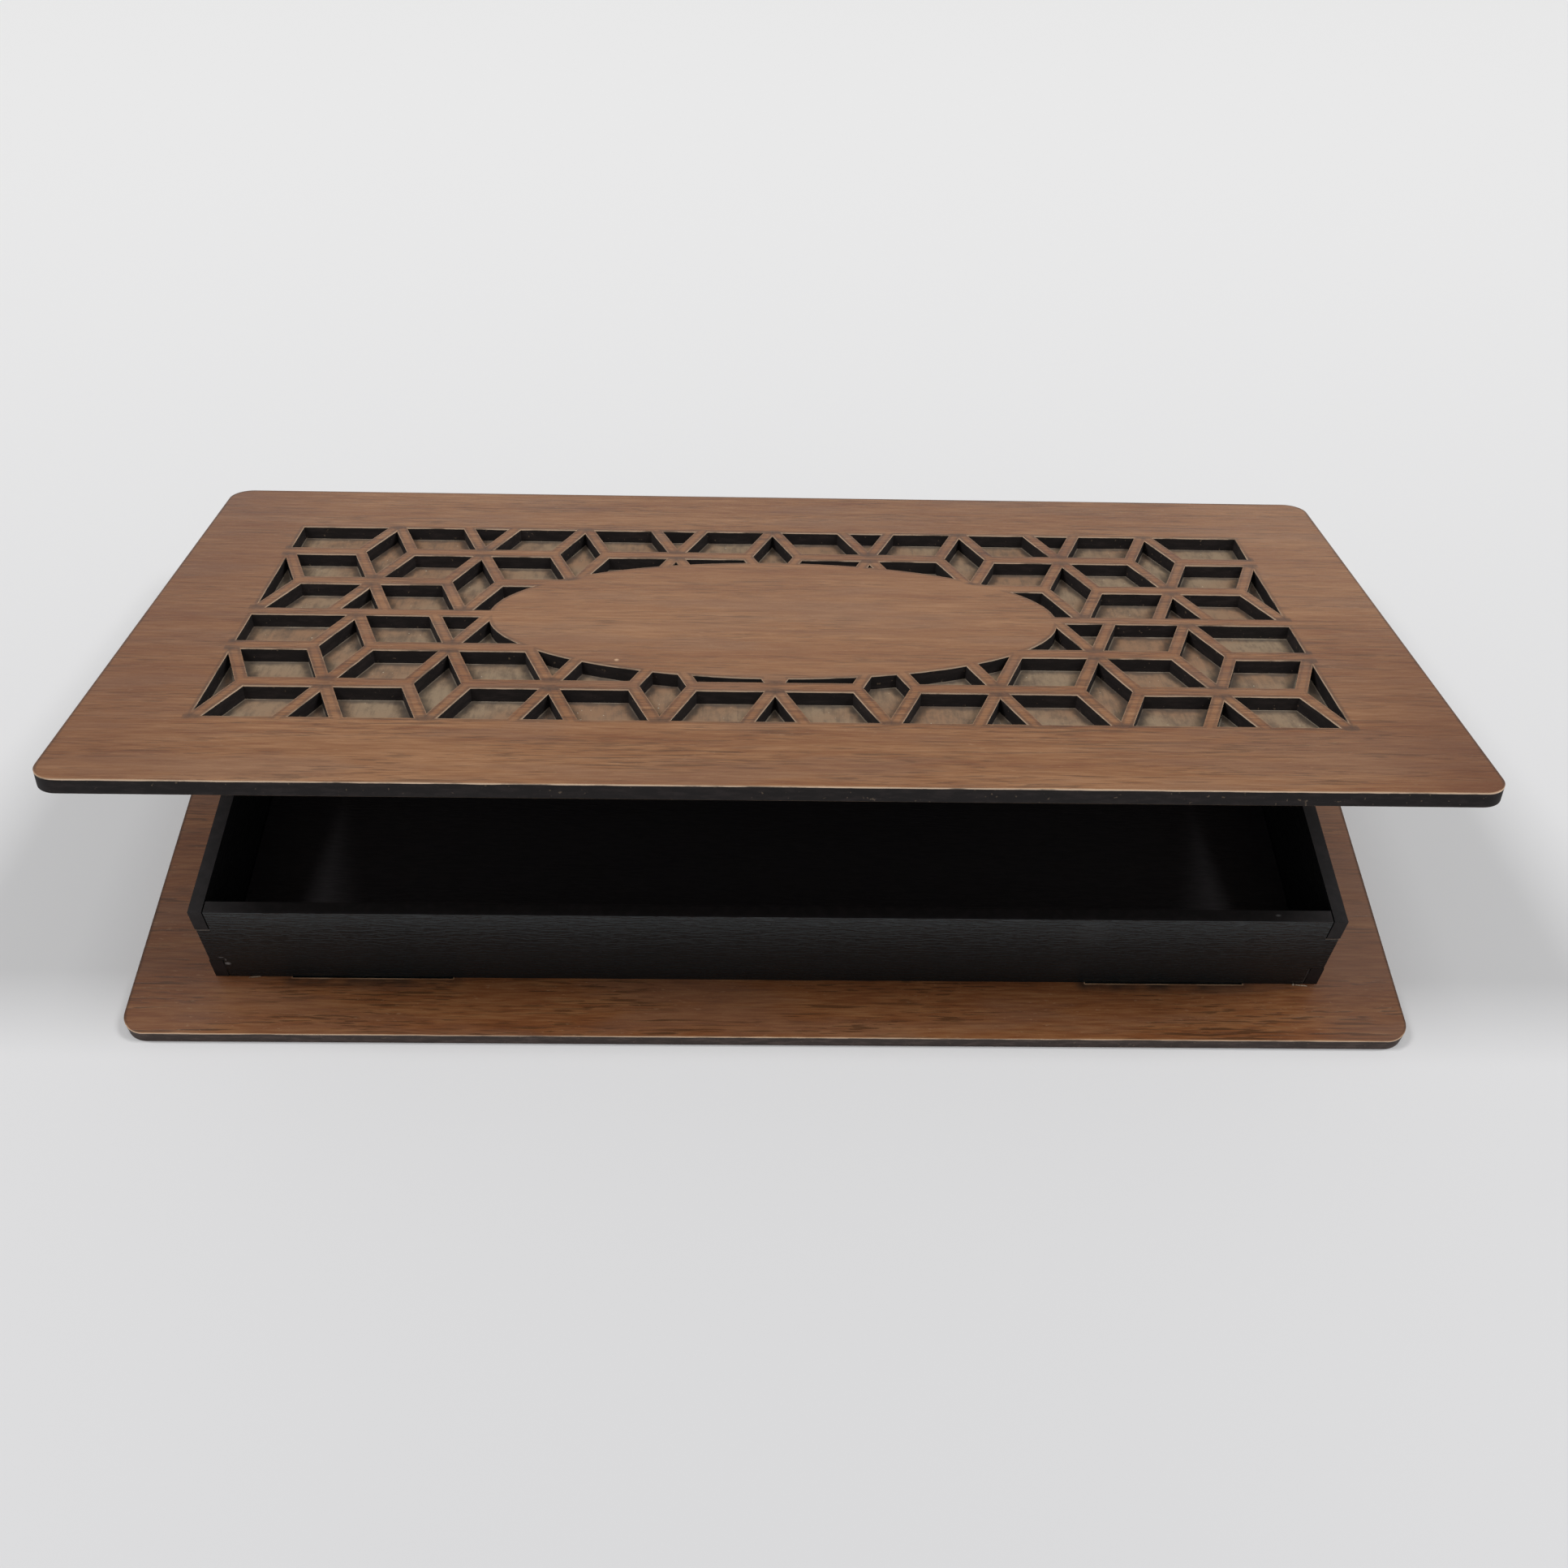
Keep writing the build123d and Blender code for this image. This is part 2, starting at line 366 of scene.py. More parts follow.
def walnut_facing(tree, place, seed, tone, mark_share):
    """Colour, roughness and relief of the printed walnut grain along X, and flecks of painted
    highlight.
    """
    for index, (size_mm, share) in enumerate(walnut_layers):
        layer = face_noise(tree, place, size_mm, seed + index, distortion=walnut_waviness)
        tone = calc(tree, "MULTIPLY_ADD", calc(tree, "SUBTRACT", layer, 0.5), share, tone)
    colour = graded(tree, tone, walnut_scale)
    grey_areas = rise(tree, face_noise(tree, place, walnut_grey_mm, seed + 4), 0.46, 0.66)
    colour = blend_colour(tree, times(tree, grey_areas, walnut_grey_share), colour, walnut_grey)
    pores = dashes(tree, place, seed + 5, **walnut_pores)
    lines = dashes(tree, place, seed + 7, **walnut_lines)
    marks = times(tree, calc(tree, "MAXIMUM", pores, lines), mark_share)
    colour = blend_colour(tree, marks, colour, walnut_pore)
    # Pale flecks of painted highlight, for the sheen on the facing.
    flecks = dashes(tree, place, seed + 9, **walnut_sheen_flecks)
    colour = blend_colour(tree, flecks, colour, walnut_sheen_fleck)
    fibres = face_noise(tree, place, walnut_fibre_mm, seed + 11, detail=2.0)
    rough = calc(tree, "MULTIPLY_ADD", fibres, walnut_rougher, walnut_smooth)
    relief = calc(tree, "MULTIPLY_ADD", marks, -1.0, fibres)
    return colour, rough, relief


def cut_marks(tree, place, colour, to_cut, seed, smoke_mm, smoke_share, rim_mm, rim_share):
    """Smoke and a scorched line beside a face's cuts, and a pale rim where the facing shrank."""
    wander = face_noise(tree, place, cut_wander_mm, seed)
    blotches = face_noise(tree, place, cut_blotch_mm, seed + 1, detail=2.0)
    off_cut = calc(tree, "SUBTRACT", to_cut, cut_waver_mm / 2)
    off_cut = calc(tree, "MULTIPLY_ADD", wander, cut_waver_mm, off_cut)
    smoke = rise(tree, off_cut, smoke_mm, smoke_full_mm)
    smoke = times(tree, smoke, rise(tree, blotches, 0.35, 0.62, at_low=0.25), smoke_share)
    colour = blend_colour(tree, smoke, colour, smoke_brown)
    off_scorch = calc(tree, "ABSOLUTE", calc(tree, "SUBTRACT", off_cut, scorch_middle_mm))
    scorch = rise(tree, off_scorch, *scorch_half_mm)
    scorch = times(tree, scorch, rise(tree, blotches, 0.58, 0.42), scorch_share)
    colour = blend_colour(tree, scorch, colour, smoke_brown)
    rim_end = calc(tree, "MULTIPLY_ADD", wander, rim_waver_mm, rim_mm)
    rim = rise(tree, calc(tree, "SUBTRACT", to_cut, rim_end), rim_blur_mm, -rim_blur_mm)
    rim = times(tree, rim, rise(tree, blotches, 0.35, 0.65, at_low=0.25), rim_share)
    return blend_colour(tree, rim, colour, pale_rim)


def outline_marks(tree, place, colour, seed):
    """Outer edge of a plate: a pale rim along the front, shrunk facing and painted highlight, and
    smoke along the sides and back.
    """
    x, y, z = millimetres(tree, place)
    past_edge = past_rectangle(
        tree, x, y, plate_half_width_mm, plate_half_depth_mm, plate_corner_mm
    )
    inward = calc(tree, "MULTIPLY", past_edge, -1.0)
    at_front = rise(tree, y, *front_edge_y_mm)
    wander = face_noise(tree, place, outline_wander_mm, seed)
    smoke = calc(tree, "MULTIPLY_ADD", wander, edge_smoke_waver_mm, inward)
    smoke = rise(tree, smoke, *edge_smoke_mm)
    smoke = times(tree, smoke, calc(tree, "SUBTRACT", 1.0, at_front), edge_smoke_share)
    colour = blend_colour(tree, smoke, colour, smoke_brown)
    # The pale rim is the facing's shrunk edge and painted highlight too: it is put along the front
    # alone, where the edge catches the light.
    lengths = face_noise(tree, place, front_rim_and_highlight_length_mm, seed + 0.5)
    rim = calc(tree, "MULTIPLY_ADD", wander, front_rim_and_highlight_waver_mm, inward)
    rim = rise(tree, rim, *front_rim_and_highlight_mm)
    rim = times(tree, rim, at_front, rise(tree, lengths, 0.38, 0.6, 0.15, 0.8))
    return blend_colour(tree, rim, colour, pale_rim)


def plate_edge(tree, place, depth, seed, dark, light):
    """Burnt edge of a plate, specked with bare board, under a pale line of bare board beside the
    facing, brightened as painted highlight.
    """
    wander = face_noise(tree, place, edge_wander_mm, seed, detail=4.0)
    soot = stretched_noise(tree, place, edge_soot_mm, seed + 1, detail=4.0, roughness=0.65)
    burnt = blend_colour(tree, rise(tree, soot, 0.42, 0.72), dark, light)
    specks = stretched_noise(tree, place, edge_speck_mm, seed + 2, detail=1.0)
    specks = rise(tree, specks, 0.70, 0.78, at_high=edge_speck_share)
    burnt = blend_colour(tree, specks, burnt, bare_board_light)
    line_start = pale_line_mm - pale_line_waver_mm / 2
    line_end = calc(tree, "MULTIPLY_ADD", wander, pale_line_waver_mm, line_start)
    past_line = rise(tree, calc(tree, "SUBTRACT", depth, line_end), *pale_line_blur_mm)
    past_line = calc(tree, "MAXIMUM", past_line, rise(tree, wander, 0.50, 0.34, at_high=0.6))
    return blend_colour(tree, past_line, pale_board_and_highlight, burnt)


def relief_normal(tree, height, strength, full_height):
    """Normal socket of a surface with a relief, whose full height is in metres."""
    bump = add_node(
        tree, "ShaderNodeBump", {"Height": height, "Strength": strength, "Distance": full_height}
    )
    return bump.outputs["Normal"]


def plate_finish(
    name, seed, tone, mark_share, edge_dark, edge_light, own_marks, place_in_plate=None
):
    """Finish of a faced plate: facing on top, a pale line, a burnt edge, and bare board below."""
    finish, tree, shader, place = new_finish(name)
    if place_in_plate:
        place = place_in_plate(tree, place)
    x, y, height = millimetres(tree, place)
    depth = calc(tree, "SUBTRACT", plate_thickness_mm, height)
    facing, facing_rough, relief = walnut_facing(tree, place, seed, tone, mark_share)
    grain = stretched_noise(
        tree, place, bare_board_grain_mm, seed + 12, detail=4.0, roughness=0.7
    )
    bare = blend_colour(tree, rise(tree, grain, 0.3, 0.7), bare_board_dark, bare_board_light)
    underneath = calc(tree, "GREATER_THAN", depth, plate_thickness_mm / 2)
    face = blend_colour(tree, underneath, facing, bare)
    face = own_marks(tree, place, face)
    face = outline_marks(tree, place, face, seed + 13)
    edge = plate_edge(tree, place, depth, seed + 14, edge_dark, edge_light)
    below_facing = calc(tree, "GREATER_THAN", depth, facing_thickness_mm)
    above_underside = calc(tree, "GREATER_THAN", height, underside_reach_mm)
    on_edge = times(tree, below_facing, above_underside)
    dull = calc(tree, "MAXIMUM", on_edge, underneath)
    fill_inputs(
        tree,
        shader,
        {
            "Base Color": blend_colour(tree, on_edge, face, edge),
            "Roughness": calc(tree, "MAXIMUM", facing_rough, times(tree, dull, bare_board_rough)),
            "Specular IOR Level": 0.30,
            "Normal": relief_normal(tree, relief, 0.4, walnut_fibre_height),
        },
    )
    return finish


def slot_marks_and_sheen(tree, place, colour):
    """Painted sheen, greyer at both ends and paler at the right end, and marks beside the slots that
    hold the tray's tabs.
    """
    x, y, z = millimetres(tree, place)
    off_middle = calc(tree, "ABSOLUTE", x)
    to_long_slot = past_rectangle(
        tree,
        calc(tree, "SUBTRACT", off_middle, front_slot_x_mm),
        calc(tree, "SUBTRACT", calc(tree, "ABSOLUTE", y), front_slot_y_mm),
        slot_half_length_mm,
        slot_half_width_mm,
    )
    to_side_slot = past_rectangle(
        tree,
        calc(tree, "SUBTRACT", off_middle, side_slot_x_mm),
        y,
        slot_half_width_mm,
        slot_half_length_mm,
    )
    # Painted sheen: greyer towards both ends, and paler at the right end behind its front corner.
    end_sheen = rise(tree, off_middle, *base_end_sheen_mm, at_high=base_end_sheen_share)
    colour = blend_colour(tree, end_sheen, colour, base_end_sheen_grey)
    right_sheen = rise(tree, x, *base_right_sheen_x_mm)
    right_sheen = times(tree, right_sheen, rise(tree, y, *base_right_sheen_y_mm), base_right_sheen_share)
    colour = blend_colour(tree, right_sheen, colour, base_right_sheen_pale)
    return cut_marks(
        tree,
        place,
        colour,
        calc(tree, "MINIMUM", to_long_slot, to_side_slot),
        seed=19.0,
        smoke_mm=3.6,
        smoke_share=0.95,
        rim_mm=0.10,
        rim_share=0.72,
    )


def dress(node, finish):
    """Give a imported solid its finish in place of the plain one."""
    nodes[node].data.materials.clear()
    nodes[node].data.materials.append(finish)


base_finish = plate_finish(
    "walnut base",
    seed=11.0,
    tone=base_tone,
    mark_share=base_mark_share,
    edge_dark=base_edge_dark,
    edge_light=base_edge_light,
    own_marks=slot_marks_and_sheen,
)
dress("base_plate", base_finish)

# The tray's floor and walls are thin black-faced board with a fine pressed grain along each board.
# Their laser-cut edges are burnt matt; a few pale nicks and smears show on the front wall.
front_black = (0.0122, 0.0180, 0.0208, 1.0)
wall_black = (0.0200, 0.0205, 0.0215, 1.0)
# The floor's purplish black is its own, but it is made lighter than the walls' black as painted
# light, for light reaching the shaded floor.
floor_black_lightened = (0.0440, 0.0390, 0.0415, 1.0)
cut_black_low = (0.0088, 0.0072, 0.0076, 1.0)
cut_black_high = (0.0176, 0.0142, 0.0150, 1.0)
cut_black_rough = 0.62
through_board_mm = 300
board_grain_mm = (4.2, 0.72, through_board_mm)
board_cloud_mm = (60, 12, through_board_mm)
board_soot_mm = (2.4, 2.4, 2.4)
board_valley_share = 0.7
board_relief_height = 0.00005
cut_edge_below = 0.7
# This grey serves both the real nicks and smears and the painted highlights on the front wall.
nick_and_highlight_grey = (0.36, 0.36, 0.365, 1.0)
bare_line = (0.150, 0.120, 0.098, 1.0)
finger_top_mm = 22.7
finger_line_mm = (0.38, 0.28)
finger_line_share = 0.8
rim_height_mm = 29.4
# The light line along the front wall's upper front edge is painted highlight.
upper_edge_highlight_mm = (0.25, 0.10)
upper_edge_highlight_share = 0.06
before_face_y_mm = -59.29
upper_edge_highlight_patch_mm = (9, 9, 1.0)
shoulder_x_mm = 127.75
finger_from_mm = 127.85
# The light line at the right shoulder, below the top of the lower finger, is painted highlight on
# the front wall's end.
shoulder_highlight_mm = (0.35, 0.20)
shoulder_highlight_top_mm = (10.2, 9.0)
shoulder_highlight_share = 0.12
# Each nick's middle across and up the wall, its half width and height, and its share of grey.
front_wall_nicks = (
    (-128.1, 11.4, 0.75, 0.22, 0.45),
    (-127.2, 10.5, 0.24, 0.60, 0.35),
    (-127.1, 8.9, 0.80, 0.60, 0.75),
    (73.5, 24.0, 5.0, 5.5, 0.022),
    (70.5, 10.5, 4.0, 3.0, 0.012),
)
rim_nick = (115.4, -57.6, 0.7, 0.35, 0.5)
rim_nick_mm = (0.2, 0.0)
nick_fade = (1.2, 0.3)


def in_ellipse(tree, x, y, half_width, half_height):
    """How far a point is from an ellipse's middle, where 1 is on its outline."""
    return hypotenuse(
        tree, calc(tree, "DIVIDE", x, half_width), calc(tree, "DIVIDE", y, half_height)
    )


def nick(tree, x, z, centre_x, centre_z, half_width, half_height):
    """Soft round spot on a wall, from 1 at its middle to 0 past its rim."""
    off_x = calc(tree, "SUBTRACT", x, centre_x)
    off_z = calc(tree, "SUBTRACT", z, centre_z)
    return rise(tree, in_ellipse(tree, off_x, off_z, half_width, half_height), *nick_fade)


def nearing(tree, value, edge_mm, before_mm):
    """Smooth step up to 1 ahead of an edge, between two distances before it."""
    start_mm, full_mm = before_mm
    return rise(tree, value, edge_mm - start_mm, edge_mm - full_mm)


def front_wall_marks(tree, place, colour):
    """Nicks and smears, the bare line on each finger's end, and painted highlights along the upper
    front edge and at the right shoulder.
    """
    x, y, z = millimetres(tree, place)
    for *spot, share in front_wall_nicks:
        smear = times(tree, nick(tree, x, z, *spot), share)
        colour = blend_colour(tree, smear, colour, nick_and_highlight_grey)
    *spot, share = rim_nick
    on_rim = nearing(tree, z, rim_height_mm, rim_nick_mm)
    smear = times(tree, nick(tree, x, y, *spot), on_rim, share)
    colour = blend_colour(tree, smear, colour, nick_and_highlight_grey)
    on_finger = calc(tree, "GREATER_THAN", calc(tree, "ABSOLUTE", x), finger_from_mm)
    finger_line = nearing(tree, z, finger_top_mm, finger_line_mm)
    finger_line = times(tree, on_finger, finger_line, finger_line_share)
    colour = blend_colour(tree, finger_line, colour, bare_line)
    # Painted highlight: a faint light line along the upper front edge, in patches.
    highlight_patches = rise(tree, stretched_noise(tree, place, upper_edge_highlight_patch_mm, 28.0), 0.42, 0.62)
    on_front = calc(tree, "LESS_THAN", y, before_face_y_mm)
    upper_edge_highlight = nearing(tree, z, rim_height_mm, upper_edge_highlight_mm)
    upper_edge_highlight = times(tree, upper_edge_highlight, on_front, highlight_patches, upper_edge_highlight_share)
    colour = blend_colour(tree, upper_edge_highlight, colour, nick_and_highlight_grey)
    # Painted highlight: a light line down the front wall's right end, beside the shoulder.
    shoulder_highlight = nearing(tree, x, shoulder_x_mm, shoulder_highlight_mm)
    shoulder_highlight = times(tree, shoulder_highlight, rise(tree, z, *shoulder_highlight_top_mm), shoulder_highlight_share)
    return blend_colour(tree, shoulder_highlight, colour, nick_and_highlight_grey)


def black_finish(name, turn, seed, face_colour, face_rough, own_marks=None):
    """Black board whose pressed grain runs along X, once its place has been turned flat."""
    finish, tree, shader, place = new_finish(name)
    flat = add_node(tree, "ShaderNodeMapping", {"Vector": place, "Rotation": turn})
    flat = flat.outputs["Vector"]
    outward = add_node(tree, "ShaderNodeTexCoord").outputs["Normal"]
    outward = add_node(
        tree, "ShaderNodeMapping", {"Vector": outward, "Rotation": turn}, vector_type="VECTOR"
    )
    outward = add_node(tree, "ShaderNodeSeparateXYZ", {"Vector": outward.outputs["Vector"]})
    upright = calc(tree, "ABSOLUTE", outward.outputs["Z"])
    on_cut = calc(tree, "LESS_THAN", upright, cut_edge_below)
    grain = stretched_noise(
        tree, flat, board_grain_mm, seed, detail=2.0, roughness=0.6, distortion=0.2
    )
    lines = rise(tree, grain, 0.38, 0.62)
    cloud = stretched_noise(tree, flat, board_cloud_mm, seed + 0.3)
    light = calc(tree, "MULTIPLY_ADD", lines, 0.40, rise(tree, cloud, 0.3, 0.7, 0.45, 0.75))
    valley = tuple(channel * board_valley_share for channel in face_colour[:3]) + (1.0,)
    colour = blend_colour(tree, light, valley, face_colour)
    soot = stretched_noise(tree, place, board_soot_mm, seed + 0.6)
    burnt = blend_colour(tree, rise(tree, soot, 0.35, 0.7), cut_black_low, cut_black_high)
    colour = blend_colour(tree, on_cut, colour, burnt)
    if own_marks:
        colour = own_marks(tree, place, colour)
    rough = calc(tree, "MULTIPLY_ADD", cloud, 0.12, face_rough - 0.02)
    rough = calc(tree, "MULTIPLY_ADD", lines, -0.08, rough)
    relief = times(tree, lines, calc(tree, "SUBTRACT", 1.0, on_cut))
    relief = calc(tree, "MULTIPLY_ADD", times(tree, soot, on_cut), 0.4, relief)
    fill_inputs(
        tree,
        shader,
        {
            "Base Color": colour,
            "Roughness": calc(tree, "MAXIMUM", rough, times(tree, on_cut, cut_black_rough)),
            "Specular IOR Level": 0.27,
            "Normal": relief_normal(tree, relief, 0.8, board_relief_height),
        },
    )
    return finish


flat_turn = (0.0, 0.0, 0.0)
long_wall_turn = (math.radians(-90), 0.0, 0.0)
side_wall_turn = (math.radians(-90), math.radians(-90), 0.0)
for node, turn_to_grain, seed, colour, rough, own_marks in (
    ("tray_floor", flat_turn, 21.0, floor_black_lightened, 0.75, None),
    ("tray_front_wall", long_wall_turn, 22.0, front_black, 0.21, front_wall_marks),
    ("tray_rear_wall", long_wall_turn, 23.0, wall_black, 0.42, None),
    ("tray_left_wall", side_wall_turn, 24.0, wall_black, 0.42, None),
    ("tray_right_wall", side_wall_turn, 25.0, wall_black, 0.42, None),
    ("lid_inner_panel", flat_turn, 26.0, wall_black, 0.55, None),
):
    dress(node, black_finish("black " + node, turn_to_grain, seed, colour, rough, own_marks))

# Beads of white wood glue were squeezed out at the tray's foot, near both front corners, where they
# dried pale and lumpy. More of it fills the gaps beside the side walls' lower fingers, blackened.
glue_pale = (0.52, 0.42, 0.31, 1.0)
glue_tan = (0.30, 0.20, 0.13, 1.0)
glue_stained = (0.17, 0.105, 0.065, 1.0)
glue_black_low = (0.009, 0.0085, 0.009, 1.0)
glue_black_high = (0.022, 0.021, 0.022, 1.0)
glue_skin_mm = (0.6, 0.6, 0.6)
glue_lumps_mm = 0.7
glue_swell_mm = 0.12
# Each bead's tint, middle and half sizes in mm, and the degrees by which it is turned.
glue_beads = (
    ("left_glue_bead", "tan", (-121.9, -59.50, 3.56), (1.50, 0.20, 0.14), 6.0),
    ("right_glue_bead", "pale", (127.3, -59.75, 3.56), (1.50, 0.20, 0.12), -6.0),
    ("small_glue_bead", "pale", (125.4, -59.60, 3.56), (0.28, 0.24, 0.26), 0.0),
    ("left_seam_glue", "black", (-127.9, -58.70, 6.90), (0.24, 0.62, 3.80), 0.0),
    ("right_seam_glue", "black", (127.9, -58.70, 6.90), (0.24, 0.62, 3.80), 0.0),
)

glue_finishes = {}
for tint, low, high in (
    ("pale", glue_tan, glue_pale),
    ("tan", glue_stained, glue_tan),
    ("black", glue_black_low, glue_black_high),
):
    finish, tree, shader, place = new_finish(tint + " glue")
    skin = rise(tree, stretched_noise(tree, place, glue_skin_mm, 71.0), 0.35, 0.65)
    fill_inputs(
        tree,
        shader,
        {
            "Base Color": blend_colour(tree, skin, low, high),
            "Roughness": 0.4,
            "Specular IOR Level": 0.3,
        },
    )
    glue_finishes[tint] = finish

lumps = bpy.data.textures.new("glue lumps", type="CLOUDS")
lumps.noise_scale = glue_lumps_mm / 1000
for name, tint, middle_mm, half_size_mm, lean in glue_beads:
    bpy.ops.mesh.primitive_ico_sphere_add(subdivisions=4, radius=0.001)
    bead = bpy.context.object
    bead.name = name
    bpy.ops.object.mode_set(mode="EDIT")
    bpy.ops.transform.resize(value=half_size_mm)
    bpy.ops.transform.rotate(
        value=math.radians(-lean), orient_axis="Z", center_override=(0.0, 0.0, 0.0)
    )
    bpy.ops.transform.translate(value=tuple(length / 1000 for length in middle_mm))
    bpy.ops.object.mode_set(mode="OBJECT")
    swell = bead.modifiers.new("lumps", "DISPLACE")
    swell.texture = lumps
    swell.texture_coords = "LOCAL"
    swell.strength = glue_swell_mm / 1000
    bpy.ops.object.modifier_apply(modifier=swell.name)
    bpy.ops.object.mode_set(mode="EDIT")
    bpy.ops.mesh.select_all(action="SELECT")
    bpy.ops.mesh.bisect(
        plane_co=(0.0, 0.0, plate_thickness_mm / 1000),
        plane_no=(0.0, 0.0, 1.0),
        use_fill=True,
        clear_inner=True,
    )
    bpy.ops.mesh.select_all(action="SELECT")
    bpy.ops.mesh.normals_make_consistent(inside=False)
    bpy.ops.object.mode_set(mode="OBJECT")
    bpy.ops.object.shade_smooth()
    bead.data.materials.append(glue_finishes[tint])
    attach(bead, "box")
    bpy.ops.object.select_all(action="DESELECT")

# The lid plate has the base plate's facing, cut through as a lattice of stars and rhombi round an
# oval. Its place is worked out from the hinge's line, so the marks lie in the plate's own plane.
hinge_line = (0.0, 0.0611, 0.0341)
standing_angle = math.radians(17.4)
plate_middle_from_hinge = (0.0, 0.0063 - 0.0611, 0.0018)
lattice_shift_mm = 0.6
row_pitch_mm = 17.36
column_pitch_mm = 25.0
slant_run_mm = 6.8
row_strip_half_mm = 1.9
slant_strip_half_mm = 1.4
oval_half_width_mm = 68.5
oval_half_depth_mm = 30.7
closed_up_half_mm = 2.4
far_off_mm = 9.0
star_smudge_off_mm = 1.95
star_smudge_half_mm = (2.6, 1.35)
star_smudge_fade = (2.0, 0.8)
star_smudge_wander_mm = (2.2, 1.4)
star_smudge_waver = 1.2
star_smudge_share = 0.62
smudge_overlap_mm = 1.5
oval_fleck = (-36.2, -22.3, 0.6, 0.7)
oval_fleck_share = 0.8
lid_tone = 0.62
lid_mark_share = 0.58
lid_edge_dark = (0.0105, 0.0080, 0.0080, 1.0)
lid_edge_light = (0.0250, 0.0190, 0.0185, 1.0)
lid_light = (0.440, 0.235, 0.125, 1.0)
lid_middle_half_mm = (110.0, 48.0)
lid_middle_fade = (1.0, 0.4)
lid_middle_share = 0.16
lid_back_x_mm = (85.0, 135.0)
lid_back_y_mm = (-35.0, 30.0)
lid_back_share = 0.16
lid_dark = (0.105, 0.028, 0.006, 1.0)
lid_left_x_mm = (-108.0, -142.0)
lid_left_share = 0.33
lid_front_x_mm = (118.0, 148.0)
lid_front_y_mm = (10.0, -60.0)
lid_front_share = 0.56


def lid_place(tree, place):
    """Place in the lid plate as if it lay flat, from the middle of its underside."""
    closed = add_node(
        tree,
        "ShaderNodeMapping",
        {"Vector": place, "Location": hinge_line, "Rotation": (-standing_angle, 0.0, 0.0)},
        vector_type="TEXTURE",
    )
    centred = add_node(
        tree,
        "ShaderNodeMapping",
        {"Vector": closed.outputs["Vector"], "Location": plate_middle_from_hinge},
        vector_type="TEXTURE",
    )
    return centred.outputs["Vector"]


def lattice_row(tree, x, y):
    """Which of three rows a point is in, how far down it from 0 to 1, and how many mm across."""
    three_rows = 3 * row_pitch_mm
    from_top = calc(tree, "SUBTRACT", three_rows, calc(tree, "FLOORED_MODULO", y, three_rows))
    in_rows = calc(tree, "DIVIDE", from_top, row_pitch_mm)
    row = calc(tree, "FLOOR", in_rows)
    down = calc(tree, "SUBTRACT", in_rows, row)
    folded = calc(tree, "PINGPONG", x, column_pitch_mm)
    swapped = calc(tree, "SUBTRACT", column_pitch_mm, folded)
    row_is_middle = calc(tree, "COMPARE", row, 1.0, 0.5)
    swap = calc(tree, "MULTIPLY", row_is_middle, calc(tree, "SUBTRACT", swapped, folded))
    return row, down, calc(tree, "ADD", folded, swap)


def past_slants(tree, x, row, down, across):
    """Distance in mm past a row's slanted strips, one of which a top row's end cells lack."""
    slope = row_pitch_mm / math.hypot(row_pitch_mm, slant_run_mm)
    fan = calc(tree, "MULTIPLY", down, slant_run_mm)
    to_fan = calc(tree, "ABSOLUTE", calc(tree, "SUBTRACT", across, fan))
    to_fan = calc(tree, "MULTIPLY_ADD", to_fan, slope, -slant_strip_half_mm)
    close = calc(tree, "ADD", fan, column_pitch_mm - slant_run_mm)
    to_close = calc(tree, "ABSOLUTE", calc(tree, "SUBTRACT", across, close))
    to_close = calc(tree, "MULTIPLY_ADD", to_close, slope, -slant_strip_half_mm)
    row_is_top = calc(tree, "COMPARE", row, 0.0, 0.5)
    at_end = calc(tree, "GREATER_THAN", calc(tree, "ABSOLUTE", x), 4.5 * column_pitch_mm)
    lacking = times(tree, row_is_top, at_end)
    to_close = calc(tree, "MULTIPLY_ADD", lacking, far_off_mm, to_close)
    return calc(tree, "MINIMUM", to_fan, to_close)


def past_rows(tree, row, down, across):
    """Distance in mm past the strips above and below a row. Round three rows they run on whole."""
    above = calc(tree, "MULTIPLY", down, row_pitch_mm)
    below = calc(tree, "SUBTRACT", row_pitch_mm, above)
    row_is_top = calc(tree, "COMPARE", row, 0.0, 0.5)
    row_is_bottom = calc(tree, "COMPARE", row, 2.0, 0.5)
    past_end = calc(tree, "SUBTRACT", across, column_pitch_mm - slant_run_mm)
    past_end = calc(tree, "MAXIMUM", past_end)
    past_end = times(tree, past_end, calc(tree, "SUBTRACT", 1.0, row_is_top))
    to_row_above = calc(tree, "SUBTRACT", hypotenuse(tree, above, past_end), row_strip_half_mm)
    before_end = calc(tree, "MAXIMUM", calc(tree, "SUBTRACT", slant_run_mm, across))
    before_end = times(tree, before_end, calc(tree, "SUBTRACT", 1.0, row_is_bottom))
    to_row_below = calc(tree, "SUBTRACT", hypotenuse(tree, below, before_end), row_strip_half_mm)
    return calc(tree, "MINIMUM", to_row_above, to_row_below)


def past_oval(tree, x, y):
    """Distance in mm past the oval's outline, exact near it, and negative on the oval."""
    oval = in_ellipse(tree, x, y, oval_half_width_mm, oval_half_depth_mm)
    steep = in_ellipse(tree, x, y, oval_half_width_mm**2, oval_half_depth_mm**2)
    steep = calc(tree, "MAXIMUM", steep, 0.001)
    past = calc(tree, "DIVIDE", calc(tree, "SUBTRACT", oval, 1.0), steep)
    return calc(tree, "MULTIPLY", past, oval)


def within_window(tree, x, y):
    """Distance in mm inside the lattice's window, and negative on the plate's border."""
    half_depth = 3 * row_pitch_mm - row_strip_half_mm
    to_side = calc(tree, "SUBTRACT", 5 * column_pitch_mm, calc(tree, "ABSOLUTE", x))
    to_end = calc(tree, "SUBTRACT", half_depth, calc(tree, "ABSOLUTE", y))
    return calc(tree, "MINIMUM", to_side, to_end)


